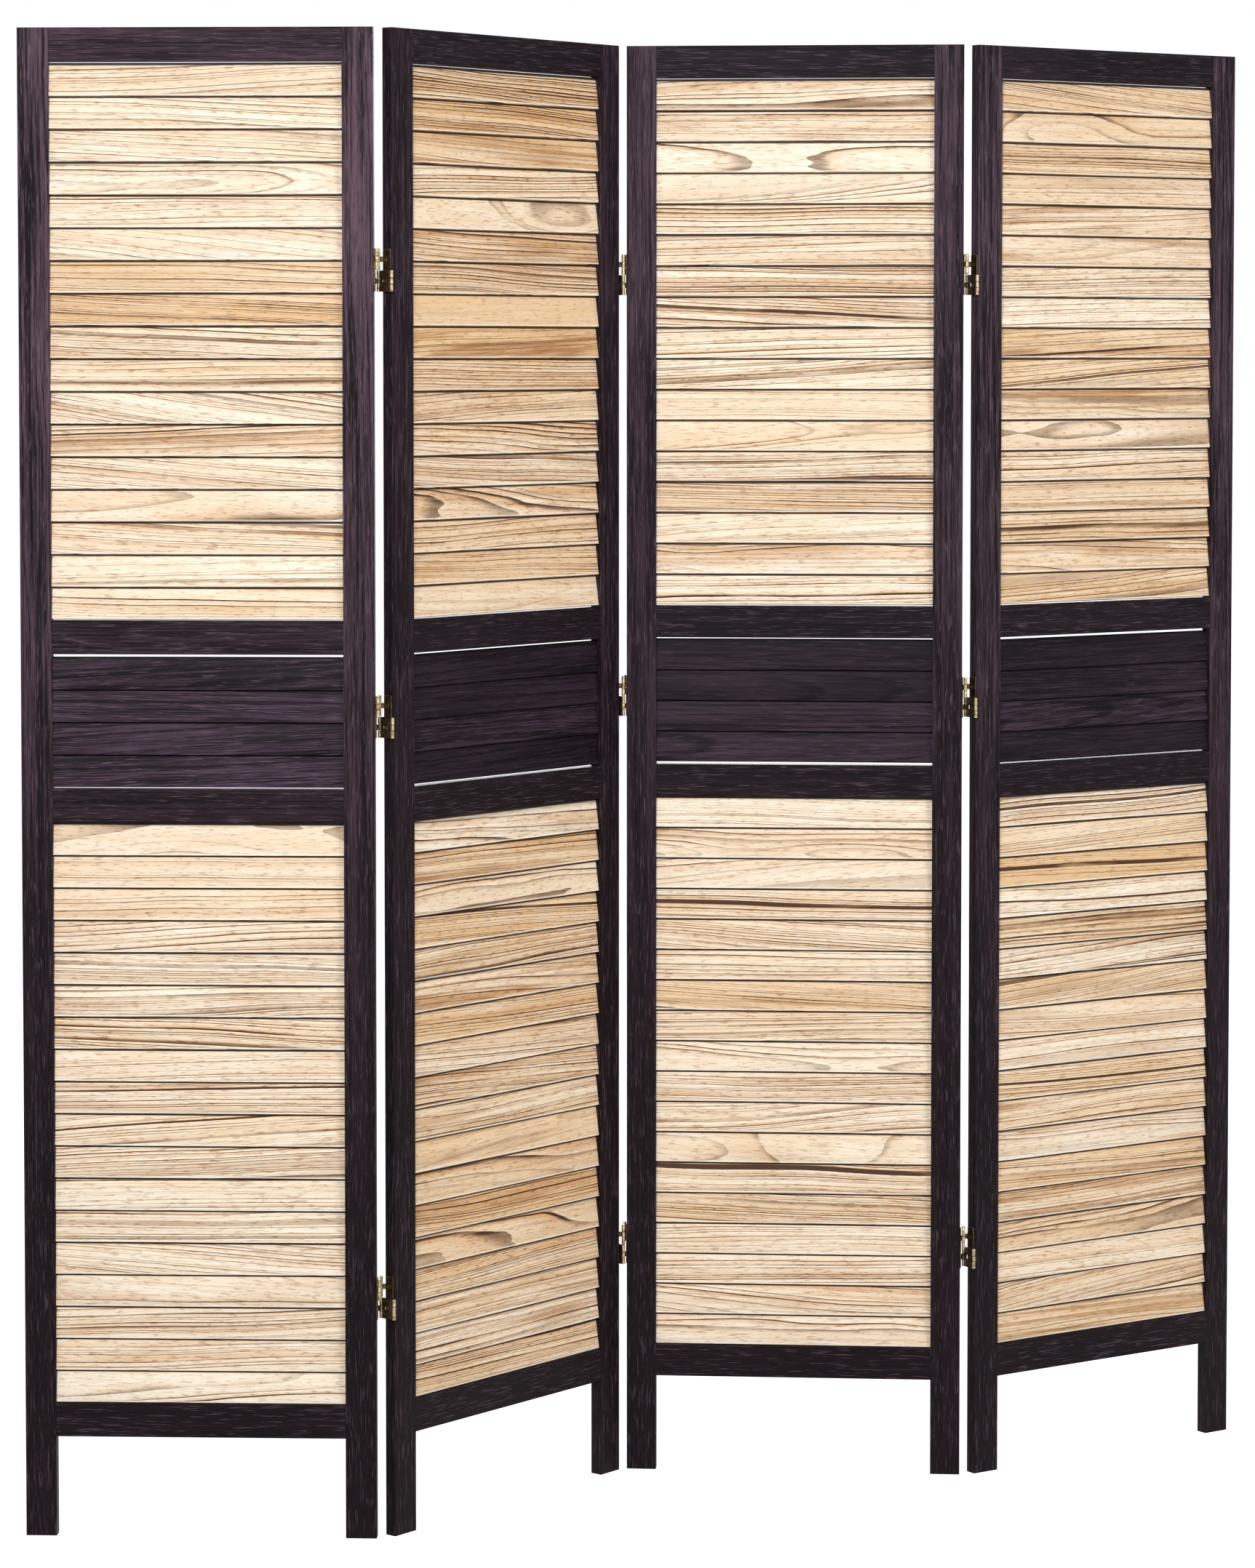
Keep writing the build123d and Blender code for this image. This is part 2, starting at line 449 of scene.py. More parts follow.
def ring_field(s, grain, eye, rings_per_metre):
    """Growth rings: the phase at a point and the ring's number.

    grain is the place in the log, with x along the trunk and the pith on its x axis,
    in metres. eye holds a swelling that rings run round: two distances and a height."""
    along, depth, height = s.split(grain)
    eye_x, eye_z, eye_size = s.split(eye)
    radius = s.vector("LENGTH", s.join(0.0, depth, height))
    radius = s.linear(along, RING_TAPER, radius)
    radius = s.linear(s.noise(grain, RING_WANDER), WANDER_SIZE, radius)
    radius = s.linear(s.noise(grain, RING_RIPPLE), RIPPLE_SIZE, radius)
    reach = s.math("ADD", s.times(eye_x, eye_x), s.times(eye_z, eye_z))
    swelling = s.math("EXPONENT", s.times(reach, -1.0))
    radius = s.linear(swelling, eye_size, radius)
    uneven = s.line_noise(radius, UNEVEN_FINENESS)
    rings = s.linear(uneven, UNEVEN_RINGS, s.times(radius, rings_per_metre))
    return s.math("FRACT", rings), s.math("FLOOR", rings)


def ring_lines(s, grain, eye, rings_per_metre, bold):
    """How much shows of each ring's thin dark line, and of the warm shade before it."""
    phase, number = ring_field(s, grain, eye, rings_per_metre)
    before = s.math("DIVIDE", s.inverse(phase), rings_per_metre)
    width = s.linear(s.chance(s.math("ADD", number, 0.5)), LINE_WIDTH_CHANCE, LINE_WIDTH)
    line = s.inverse(s.between(before, LINE_CORE, width))
    shade = s.inverse(s.between(before, 0.0, s.times(width, SHADE_WIDTHS)))
    strength = s.linear(s.chance(number), LINE_STRENGTH_CHANCE, LINE_STRENGTH)
    strength = s.times(strength, bold)

    # A ring that lies nearly level with the slat's face is broad and faint.
    _, depth, height = s.split(grain)
    from_pith = s.vector("LENGTH", s.join(0.0, depth, height))
    slope = s.math("DIVIDE", s.math("ABSOLUTE", height), from_pith)
    patchy = s.between(s.noise(grain, LINE_PATCHES), *PATCH_RANGE)
    steep = s.between(slope, *STEEP_RANGE)
    for share in (patchy, steep):
        strength = s.times(strength, s.linear(share, 1 - FAINTEST, FAINTEST))
    return s.times(line, strength, clamp=True), s.times(shade, strength, clamp=True)


def natural_slat_wood():
    """Pale wood with thin brown growth rings, short pores and darker streaks.

    tone holds how tan each slat is, how streaked it is and its rings per metre. edge
    holds the height up the slat in metres and how bold its rings are."""
    material, s = new_material("natural_slat_wood")
    grain = s.attribute("grain")
    tan, streak, rings_per_metre = s.split(s.attribute("tone"))
    up, bold, _ = s.split(s.attribute("edge"))
    line, shade = ring_lines(s, grain, s.attribute("eye"), rings_per_metre, bold)
    pores = s.between(s.noise(grain, PORES), *PORE_RANGE)
    fibre = s.noise(grain, FIBRE)
    shifted = s.vector("ADD", grain, STREAK_SHIFT)
    stripes = s.noise(shifted, STRIPES)

    warmth = s.math("ADD", tan, s.math("SUBTRACT", s.noise(grain, WARM_CLOUD), 0.5), clamp=True)
    base = s.mix(warmth, PALE_WOOD, HONEY_WOOD)
    # Each streak's noise, where it starts and is full in it, its cover and its colour
    streaks = (
        (s.noise(shifted, BLOTCHES), 0.50, 0.70, 0.85, BROWN_WOOD),
        (stripes, 0.56, 0.70, 0.55, WEATHERED_WOOD),
        (stripes, 0.48, 0.32, 0.75, BROWN_WOOD),
    )
    for field, start, full, cover, tint in streaks:
        share = s.times(s.between(field, start, full), streak, clamp=True)
        base = s.mix(s.times(share, cover), base, tint)
    fibre_cover = s.linear(fibre, FIBRE_FACTOR, FIBRE_OFFSET, clamp=True)
    base = s.mix(fibre_cover, base, HONEY_WOOD)
    base = s.mix(s.times(shade, SHADE_COVER), base, WARM_WOOD)
    pore_cover = s.linear(shade, PORE_COVER_IN_SHADE, PORE_COVER)
    base = s.mix(pore_cover, base, s.mix(pores, base, BROWN_WOOD))
    base = s.mix(line, base, RING_WOOD)

    # Painted highlight along the slat's lower edge, partly paler wood at the cut edge, and painted
    # shade in the lap at its top, where the slat above overhangs it.
    edge = s.times(s.between(up, *EDGE_HIGHLIGHT_RISE), s.between(up, *EDGE_HIGHLIGHT_FALL))
    base = s.mix(s.times(edge, EDGE_HIGHLIGHT_COVER), base, EDGE_HIGHLIGHT_WOOD)
    painted_lap_shade = s.between(up, *NATURAL_LAP_SHADE_RANGE)
    base = s.mix(s.times(painted_lap_shade, NATURAL_LAP_SHADE_COVER), base, LAP_PAINTED_SHADE)
    s.surface("Base Color", base)
    s.surface("Roughness", s.linear(fibre, NATURAL_ROUGHNESS_SPREAD, NATURAL_ROUGHNESS))
    s.surface("Specular IOR Level", NATURAL_SPECULAR)
    grooves = s.math("ADD", line, s.times(pores, PORE_RELIEF))
    relief = s.math("SUBTRACT", s.times(fibre, FIBRE_RELIEF), grooves)
    s.surface("Normal", s.bump(relief, NATURAL_RELIEF, NATURAL_RELIEF_STRENGTH))
    return material


def stain(s, grain, phase, light, shade):
    """Dark stain over wood with rings: sets roughness and relief, and gives its colour."""
    streaks = s.noise(grain, STAIN_STREAKS)
    pores = s.noise(grain, STAIN_PORES)
    late_start = s.between(phase, *LATE_WOOD_START)
    late_wood = s.math("ADD", late_start, s.between(phase, *LATE_WOOD_END))
    cloud = s.times(s.noise(grain, STAIN_CLOUD), CLOUD_WEIGHT)
    level = s.linear(streaks, STREAK_WEIGHT, cloud)
    level = s.linear(late_wood, LATE_WOOD_WEIGHT, level)
    base = s.mix(s.between(level, *STREAK_RANGE), shade, light)
    rubbed = s.times(s.between(pores, *RUBBED_RANGE), RUBBED_COVER)
    base = s.mix(rubbed, base, s.mix(RUBBED_TINT, light, STAIN_RUBBED))
    open_pores = s.times(s.between(pores, *OPEN_PORE_RANGE), OPEN_PORE_COVER)
    base = s.mix(open_pores, base, STAIN_PORE)
    s.surface("Roughness", s.linear(streaks, STAIN_ROUGHNESS_SPREAD, STAIN_ROUGHNESS))
    s.surface("Specular IOR Level", STAIN_SPECULAR)
    relief = s.linear(pores, STAIN_PORE_RELIEF, streaks)
    s.surface("Normal", s.bump(relief, STAIN_RELIEF, STAIN_RELIEF_STRENGTH))
    return base


def stained_slat_wood():
    """Dark espresso stain over the slats of the middle bands. tone holds each panel's painted
    shade, which differs a little from slat to slat.
    """
    material, s = new_material("stained_slat_wood")
    grain = s.attribute("grain")
    depth, _, rings_per_metre = s.split(s.attribute("tone"))
    up, _, _ = s.split(s.attribute("edge"))
    phase, _ = ring_field(s, grain, s.attribute("eye"), rings_per_metre)
    base = stain(s, grain, phase, SLAT_STAIN_LIGHT, SLAT_STAIN_SHADE)
    # Painted shade, set for each panel: the panels that catch less sheen are painted darker.
    base = s.mix(s.times(depth, PANEL_SHADE_COVER), base, SLAT_STAIN_SHADE)
    # Painted shade in the lap at the slat's top, under the slat above
    painted_lap_shade = s.between(up, *STAINED_LAP_SHADE_RANGE)
    base = s.mix(s.times(painted_lap_shade, STAINED_LAP_SHADE_COVER), base, SLAT_STAIN_LAP_SHADE)
    s.surface("Base Color", base)
    return material


def stained_frame_wood(name, place, along, light):
    """Dark espresso stain over the frame of one panel, with the grain along x or z."""
    material, s = new_material(name)
    local = s.node("ShaderNodeMapping", vector_type="TEXTURE")
    s.put(local.inputs["Vector"], s.node("ShaderNodeTexCoord").outputs["Object"])
    s.put(local.inputs["Location"], place.translation)
    s.put(local.inputs["Rotation"], place.to_euler())
    x, y, z = s.split(local.outputs[0])
    # Each member's own number shifts it to another part of the log.
    index = s.node("ShaderNodeObjectInfo").outputs["Object Index"]
    grain = s.join(x, y, z) if along == "x" else s.join(z, y, x)
    shift = s.vector("MULTIPLY", s.join(index, index, index), MEMBER_SHIFT)
    grain = s.vector("ADD", grain, shift)
    no_eye = s.join(0.0, 0.0, 0.0)
    phase, _ = ring_field(s, grain, no_eye, FRAME_RINGS_PER_METRE)
    # Painted sheen: the stain is painted lighter towards the top, where light from above catches
    # it, and darker towards the floor.
    light = s.mix(s.between(z, *PAINTED_SHEEN_HEIGHTS), STAIN_UNDER_PAINTED_SHEEN, light)
    base = stain(s, grain, phase, light, STAIN_SHADE)
    if along == "x":
        # A hairline where the rail meets the stile
        from_middle = s.math("ABSOLUTE", s.math("SUBTRACT", x, PANEL_WIDTH / 2))
        joint = PANEL_WIDTH / 2 - STILE_WIDTH
        line = s.between(from_middle, joint - JOINT_START, joint - JOINT_END)
        base = s.mix(s.times(line, JOINT_COVER), base, STAIN_JOINT)
    s.surface("Base Color", base)
    return material


def hinge_metal(name, base, bright, roughness):
    """Antique brass, darker where it is tarnished."""
    material, s = new_material(name)
    where = s.node("ShaderNodeTexCoord").outputs["Object"]
    specks = s.noise(where, SPECKS)
    share = s.linear(s.noise(where, TARNISH), 2.4, -0.75, clamp=True)
    s.surface("Base Color", s.mix(share, base, bright))
    s.surface("Metallic", 1.0)
    s.surface("Roughness", s.linear(specks, 0.3, roughness))
    s.surface("Normal", s.bump(specks, 0.05 * MM, 0.5))
    return material


# Slats

# How tan and how streaked each panel's slats are, and how much painted shade darkens its stained
# slats
PANEL_TONES_AND_SHADES = {
    1: (0.12, 0.12, 0.1),
    2: (0.5, 0.75, 1.0),
    3: (0.18, 0.25, 0.6),
    4: (0.35, 0.5, 0.95),
}

# Slats that stand out, by panel and field and then by number from the top. slope is
# the rings' rise along the slat. An eye is its place along and up the slat, its width
# and height as shares, and its size in metres.
FIGURED_SLATS = {
    (1, "upper_slats"): {
        1: {"slope": 0.06, "height": 0.09, "depth": 0.01, "rings": 110, "tan": 0.3},
        2: {"slope": -0.03, "height": 0.10, "depth": 0.01, "rings": 190, "tan": 0.1},
        3: {"slope": -0.04, "height": 0.09, "depth": 0.01, "rings": 170, "tan": 0.05},
        6: {"slope": -0.09, "height": 0.08, "depth": 0.01, "rings": 120, "tan": 0.05},
        8: {"slope": -0.03, "height": 0.08, "depth": 0.01, "rings": 300, "tan": 0.75, "bold": 1.1},
        12: {"slope": 0.05, "height": 0.08, "depth": 0.01, "rings": 220, "tan": 0.35},
    },
    (2, "upper_slats"): {
        1: {"slope": -0.01, "height": 0.11, "depth": 0.0, "rings": 330, "bold": 1.5, "tan": 0.5},
        2: {"slope": -0.02, "height": 0.12, "depth": 0.0, "rings": 300, "streak": 1.0, "tan": 0.8},
        3: {"slope": -0.02, "height": 0.10, "depth": 0.0, "rings": 120, "streak": 1.0, "tan": 0.8},
        4: {"slope": 0.05, "height": 0.10, "depth": 0.0, "rings": 90, "streak": 0.3, "tan": 0.3},
        5: {"depth": 0.06, "height": -0.018, "rings": 70, "streak": 0.0, "tan": 0.35,
            "bold": 0.9, "slope": 0.0, "eye": (0.78, 0.5, 1.5, 1.2, 0.012)},
        6: {"slope": -0.02, "height": 0.11, "depth": 0.0, "rings": 260, "bold": 1.6, "tan": 0.6},
        7: {"slope": -0.01, "height": 0.12, "depth": 0.0, "rings": 320, "streak": 0.9, "bold": 1.4},
        8: {"height": 0.12, "depth": 0.0, "rings": 120, "bold": 0.2, "streak": 0.25, "tan": 0.8},
        9: {"slope": 0.05, "rings": 120, "streak": 1.2, "tan": 1.0},
    },
    (1, "lower_slats"): {
        1: {"depth": 0.05, "height": -0.02, "rings": 190, "bold": 0.8, "tan": 0.3,
            "eye": (0.4, 0.1, 2.0, 1.6, 0.02)},
    },
    (3, "lower_slats"): {
        12: {"depth": 0.06, "height": -0.02, "rings": 160, "bold": 0.9,
             "eye": (0.6, 0.5, 0.9, 1.1, 0.015)},
    },
    (4, "upper_slats"): {
        2: {"depth": 0.05, "height": -0.02, "rings": 150, "bold": 1.1,
            "eye": (0.3, 0.4, 1.2, 1.2, 0.015)},
        9: {"slope": 0.04, "streak": 1.2, "tan": 0.7},
        10: {"slope": 0.04, "streak": 1.0, "tan": 0.6},
    },
}

# An eye's distances are in these shares of a slat's length and height.
EYE_LENGTH_SHARE = 1 / 4
EYE_HEIGHT_SHARE = 1 / 2
# The share of slats whose rings lie nearly level with their faces
FLAT_SAWN_SHARE = 0.22
FIELD_SEEDS = {"upper_slats": 100, "lower_slats": 200, "middle_slats": 300}


def slat_section():
    """A slat's cross-section as (up the slat, through it), with rounded edges."""
    points = []
    corners = (
        (SLAT_ROUNDING, SLAT_ROUNDING, 180),
        (SLAT_HEIGHT - SLAT_ROUNDING, SLAT_ROUNDING, 270),
        (SLAT_HEIGHT - SLAT_ROUNDING, SLAT_THICKNESS - SLAT_ROUNDING, 0),
        (SLAT_ROUNDING, SLAT_THICKNESS - SLAT_ROUNDING, 90),
    )
    for up, through, start in corners:
        for turn in (0, 30, 60, 90):
            angle = math.radians(start + turn)
            rise = SLAT_ROUNDING * math.cos(angle)
            shift = SLAT_ROUNDING * math.sin(angle)
            points.append((up + rise, through + shift))
    return points


SLAT_SECTION = slat_section()


def slat_levels(node, count, slip):
    """The heights of a field's lower front edges, from the CAD node's box."""
    low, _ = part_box(node)
    drop = SLAT_THICKNESS * SIN_TILT
    return [low.z + drop - slip + k * SLAT_PITCH for k in range(count)]


def share_of(value):
    """The value held between 0 and 1."""
    return min(1, max(0, value))


def cut_from_log(rng, tan, streaked):
    """Where a slat was sawn from its log, and how its wood looks."""
    flat_sawn = rng.random() < FLAT_SAWN_SHARE
    if flat_sawn:
        depth = rng.uniform(0.035, 0.075)
        height = rng.uniform(-0.03, 0.02)
    else:
        depth = rng.uniform(0.0, 0.03)
        height = rng.choice((-1, 1)) * rng.uniform(0.06, 0.13)
    return {
        "along": rng.uniform(0, 40),
        "depth": depth,
        "height": height,
        "slope": rng.gauss(0, 0.035),
        "tan": share_of(rng.gauss(tan, 0.2)),
        "streak": share_of(rng.gauss(streaked, 0.3)),
        "rings": rng.uniform(150, 330) if flat_sawn else rng.uniform(120, 300),
        "bold": rng.uniform(0.75, 1.35) + 0.4 * tan,
        "eye": (0.5, 0.5, 1.0, 1.0, 0.0),
    }


def add_slat(points, level, wood, bow, twist, lift):
    """Adds every point of a slat: its place and the wood's attributes there."""
    eye_x, eye_z, wide, high, size = wood["eye"]
    for step in range(SLAT_STEPS + 1):
        share = step / SLAT_STEPS
        along = SLAT_LENGTH * share
        arch = bow * math.sin(math.pi * share) + lift * (share - 0.5)
        rise = wood["slope"] * SLAT_LENGTH * (share - 0.5)
        for up, through in SLAT_SECTION:
            sway = twist * math.sin(2 * math.pi * share) * (up / SLAT_HEIGHT - 0.5)
            depth = through + sway
            points["place"].append((
                SLAT_START + along,
                SLAT_SETBACK + up * SIN_TILT + depth * COS_TILT,
                level + up * COS_TILT - depth * SIN_TILT + arch / 2,
            ))
            points["grain"].append((
                along + wood["along"],
                through + wood["depth"],
                up + wood["height"] - rise,
            ))
            points["eye"].append((
                (share - eye_x) / wide / EYE_LENGTH_SHARE,
                (up / SLAT_HEIGHT - eye_z) / high / EYE_HEIGHT_SHARE,
                size,
            ))
            points["tone"].append((wood["tan"], wood["streak"], wood["rings"]))
            points["edge"].append((up, wood["bold"], 0.0))


def slat_faces(first):
    """The faces of a slat whose points start at an index."""
    ring = len(SLAT_SECTION)
    faces = []
    for step in range(SLAT_STEPS):
        a = first + step * ring
        for j in range(ring):
            n = (j + 1) % ring
            faces.append((a + j, a + ring + j, a + ring + n, a + n))
    last = first + SLAT_STEPS * ring
    faces.append(tuple(first + j for j in range(ring)))
    faces.append(tuple(last + ring - 1 - j for j in range(ring)))
    return faces


def slat_field(panel, field, material, tan, streaked):
    """All the slats of one field of a panel, as one piece that stands for their node."""
    node = f"panel_{panel}_{field}"
    count = SLAT_COUNTS[field]
    slip = SLAT_SLIPS[field][panel - 1]
    figured = FIGURED_SLATS.get((panel, field), {})
    rng = random.Random(FIELD_SEEDS[field] + panel)
    points = {"place": [], "grain": [], "eye": [], "tone": [], "edge": []}
    faces = []
    for k, level in enumerate(slat_levels(node, count, slip)):
        wood = cut_from_log(rng, tan, streaked)
        wood.update(figured.get(count - k, {}))
        bow = rng.uniform(-MOST_BOW, MOST_BOW)
        twist = rng.uniform(-MOST_TWIST, MOST_TWIST)
        lift = rng.uniform(-MOST_LIFT, MOST_LIFT)
        faces += slat_faces(len(points["place"]))
        add_slat(points, level, wood, bow, twist, lift)
    mesh = bpy.data.meshes.new(node + "_wood")
    mesh.from_pydata(points.pop("place"), [], faces)
    for name, numbers in points.items():
        made = mesh.attributes.new(name, "FLOAT_VECTOR", "POINT")
        made.data.foreach_set("vector", np.array(numbers, np.float32).ravel())
    mesh.shade_smooth()
    mesh.materials.append(material)
    piece = add_object(node + "_wood", mesh)
    split_sharp_edges(piece, SLAT_SHARP_ANGLE)
    piece.matrix_world = PLACES[panel - 1]
    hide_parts(node)
    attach(piece, f"panel_{panel}")


natural = natural_slat_wood()
stained = stained_slat_wood()
# The third number of each panel is the painted shade of its stained slats.
for panel, (tan, streaked, depth) in PANEL_TONES_AND_SHADES.items():
    slat_field(panel, "upper_slats", natural, tan, streaked)
    slat_field(panel, "lower_slats", natural, tan, streaked)
    slat_field(panel, "middle_slats", stained, depth, streaked)


# Frames: the CAD solids with a material for the upright members and one for the rails

for panel, (stile_light, rail_light) in FRAME_PAINTED_LIGHTS.items():
    place = PLACES[panel - 1]
    upright = stained_frame_wood(f"stained_stile_wood_{panel}", place, "z", stile_light)
    across = stained_frame_wood(f"stained_rail_wood_{panel}", place, "x", rail_light)
    members = [name for name in sorted(frame["nodes"]) if name.startswith(f"panel_{panel}_")]
    # A member's number is its pass index, which its material reads. A panel has under 10.
    for number, name in enumerate(members, 10 * panel):
        if name.endswith("slats"):
            continue
        node = frame["nodes"][name]
        node.data.materials.clear()
        node.data.materials.append(upright if name.endswith("stile") else across)
        node.pass_index = number


# Hinges, in millimetres in a hinge's own frame

THICKNESS_MM = PANEL_THICKNESS / MM
FRONT_AXIS = -AXIS_STANDOFF
BACK_AXIS = THICKNESS_MM + AXIS_STANDOFF
MIDDLE = THICKNESS_MM / 2
HALF_TURN = Matrix.Translation((0, THICKNESS_MM, 0)) @ Matrix.Rotation(math.pi, 4, "Z")
# Stands a sheet's x-y plane up in a hinge's y-z plane, with its thickness along +x.
UPRIGHT = Matrix(((0, 0, 1, 0), (1, 0, 0, 0), (0, 1, 0, 0), (0, 0, 0, 1)))
SCREW_LEVELS = [start + LINK_HEIGHT / 2 for start in LINK_STARTS.values()]
# Material numbers
PLATE = 0
BARREL = 1


def circle(centre, radius, clockwise=False):
    """A closed loop of points. A hole's loop runs clockwise."""
    points = []
    for k in range(ROUND_STEPS):
        turn = math.radians(360 * k / ROUND_STEPS)
        points.append((centre[0] + radius * math.cos(turn), centre[1] + radius * math.sin(turn)))
    return points[::-1] if clockwise else points


def rounded(corners, radius):
    """A loop through corners at right angles, each rounded by an arc."""
    points = []
    for k, corner in enumerate(corners):
        here = Vector(corner)
        back = (Vector(corners[k - 1]) - here).normalized()
        ahead = (Vector(corners[(k + 1) % len(corners)]) - here).normalized()
        centre = here + (back + ahead) * radius
        for step in range(CORNER_STEPS + 1):
            turn = math.pi / 2 * step / CORNER_STEPS
            spoke = ahead * math.cos(turn) + back * math.sin(turn)
            points.append(tuple(centre - spoke * radius))
    return points


def inset(loop, distance):
    """A loop moved to its left, so that an outline shrinks and a hole grows."""
    moved = []
    for k, point in enumerate(loop):
        before = Vector(loop[k - 1])
        after = Vector(loop[(k + 1) % len(loop)])
        way = (after - before).normalized()
        moved.append((point[0] - way.y * distance, point[1] + way.x * distance))
    return moved


def place_loop(bm, place, loop, height):
    """A loop's points as vertices at a height above a place's x-y plane."""
    return [bm.verts.new(place @ Vector((u, v, height))) for u, v in loop]


def add_wall(bm, low, high, material):
    """A band of faces between two loops of vertices."""
    for k in range(len(low)):
        n = (k + 1) % len(low)
        bm.faces.new((low[k], low[n], high[n], high[k])).material_index = material


def add_sheet(bm, place, loops, thickness, edge, material):
    """A sheet with holes, lying in the x-y plane of a place, with its edges softened."""
    levels = ((0, 0), (thickness, 0))
    if edge > 0:
        levels = ((0, edge), (edge, 0), (thickness - edge, 0), (thickness, edge))
    layers = []
    for height, back in levels:
        layers.append([place_loop(bm, place, inset(loop, back), height) for loop in loops])
    for low, high in zip(layers, layers[1:]):
        for loop_low, loop_high in zip(low, high):
            add_wall(bm, loop_low, loop_high, material)
    outline = [[Vector((u, v, 0)) for u, v in loop] for loop in loops]
    for layer in (layers[0], layers[-1]):
        verts = [vert for loop in layer for vert in loop]
        for triangle in tessellate_polygon(outline):
            bm.faces.new([verts[k] for k in triangle]).material_index = material


def add_round(bm, place, profile, material):
    """A turned piece about the z axis of a place, from (radius, height) points."""
    rings = [place_loop(bm, place, circle((0, 0), radius), height) for radius, height in profile]
    for low, high in zip(rings, rings[1:]):
        add_wall(bm, low, high, material)
    bm.faces.new(rings[0][::-1]).material_index = material
    bm.faces.new(rings[-1]).material_index = material


def add_strip(bm, place, path, start, end, material):
    """A bent strip of sheet that stands on a path in x and y, between two heights."""
    left, right = [], []
    for k, point in enumerate(path):
        ahead = Vector(path[min(k + 1, len(path) - 1)])
        behind = Vector(path[max(k - 1, 0)])
        way = (ahead - behind).normalized() * SHEET / 2
        left.append((point[0] - way.y, point[1] + way.x))
        right.append((point[0] + way.y, point[1] - way.x))
    foot = place @ Matrix.Translation((0, 0, start))
    add_sheet(bm, foot, [right + left[::-1]], end - start, 0.0, material)


def add_knuckle(bm, place, start, end):
    """A length of barrel about the z axis of a place, with softened ends."""
    profile = (
        (BARREL_RADIUS - KNUCKLE_SOFTNESS, start),
        (BARREL_RADIUS, start + KNUCKLE_SOFTNESS),
        (BARREL_RADIUS, end - KNUCKLE_SOFTNESS),
        (BARREL_RADIUS - KNUCKLE_SOFTNESS, end),
    )
    add_round(bm, place, profile, BARREL)


def add_leaf(bm, place):
    """The left leaf: its plate, and two bent tabs, each with its knuckle."""
    low = MIDDLE - LEAF_WIDTH / 2
    high = MIDDLE + LEAF_WIDTH / 2
    half = LEAF_HEIGHT / 2
    corners = ((low, -half), (high, -half), (high, half), (low, half))
    hole_radius = SCREW_RADIUS + SCREW_PLAY
    holes = [circle((MIDDLE, level), hole_radius, clockwise=True) for level in SCREW_LEVELS]
    plate_place = place @ Matrix.Translation((-HALF_GAP, 0, 0)) @ UPRIGHT
    outline = rounded(corners, LEAF_ROUNDING)
    add_sheet(bm, plate_place, [outline, *holes], SHEET, SHEET_EDGE, PLATE)
    for name, axis, edge, inward in (("upper", FRONT_AXIS, low, 1), ("lower", BACK_AXIS, high, -1)):
        start = LINK_STARTS[name] + LINK_KNUCKLE + KNUCKLE_GAP
        end = start + LEAF_KNUCKLE
        first = edge + inward * TAB_START
        last = axis + inward * TAB_END
        path = []
        for step in range(TAB_STEPS + 1):
            share = step / TAB_STEPS
            ease = share * share * (3 - 2 * share)
            path.append((-(HALF_GAP - SHEET / 2) * (1 - ease), first + (last - first) * share))
        add_strip(bm, place, path, start + TAB_PLAY, end - TAB_PLAY, PLATE)
        add_knuckle(bm, place @ Matrix.Translation((0, axis, 0)), start, end)


def add_link(bm, place, start):
    """A link plate with two knuckles and a pin on each axis."""
    reach = BARREL_RADIUS + WINDOW_MARGIN
    window_low = LINK_KNUCKLE
    window_high = LINK_HEIGHT - LINK_KNUCKLE
    outline = (
        (FRONT_AXIS, 0),
        (BACK_AXIS, 0),
        (BACK_AXIS, window_low),
        (BACK_AXIS - reach, window_low),
        (BACK_AXIS - reach, window_high),
        (BACK_AXIS, window_high),
        (BACK_AXIS, LINK_HEIGHT),
        (FRONT_AXIS, LINK_HEIGHT),
        (FRONT_AXIS, window_high),
        (FRONT_AXIS + reach, window_high),
        (FRONT_AXIS + reach, window_low),
        (FRONT_AXIS, window_low),
    )
    hole = circle((MIDDLE, LINK_HEIGHT / 2), ACCESS_RADIUS, clockwise=True)
    plate_place = place @ Matrix.Translation((-SHEET / 2, 0, start)) @ UPRIGHT
    add_sheet(bm, plate_place, [outline, hole], SHEET, 0.0, PLATE)
    for axis in (FRONT_AXIS, BACK_AXIS):
        barrel = place @ Matrix.Translation((0, axis, start))
        add_knuckle(bm, barrel, 0, window_low)
        add_knuckle(bm, barrel, window_high, LINK_HEIGHT)
        add_round(bm, barrel, ((PIN_RADIUS, window_low), (PIN_RADIUS, window_high)), BARREL)


def add_screw(bm, place, level):
    """The head of a countersunk cross-head screw in the left leaf."""
    cross = []
    for quarter in range(4):
        turn = Matrix.Rotation(-math.pi / 2 * quarter, 2)
        for point in (
            (-CROSS_HALF_WIDTH, CROSS_HALF_WIDTH),
            (-CROSS_HALF_WIDTH, CROSS_ARM),
            (CROSS_HALF_WIDTH, CROSS_ARM),
        ):
            cross.append(tuple(turn @ Vector(point)))
    seat = place @ Matrix.Translation((-HALF_GAP, MIDDLE, level)) @ UPRIGHT
    cross_foot = SHEET + SCREW_FACE - CROSS_DEPTH
    head = seat @ Matrix.Translation((0, 0, cross_foot))
    add_sheet(bm, head, [circle((0, 0), SCREW_RADIUS), cross], CROSS_DEPTH, 0.0, PLATE)
    neck = ((SCREW_NECK_RADIUS, SCREW_PLAY), (SCREW_NECK_RADIUS, cross_foot))
    add_round(bm, seat, neck, PLATE)


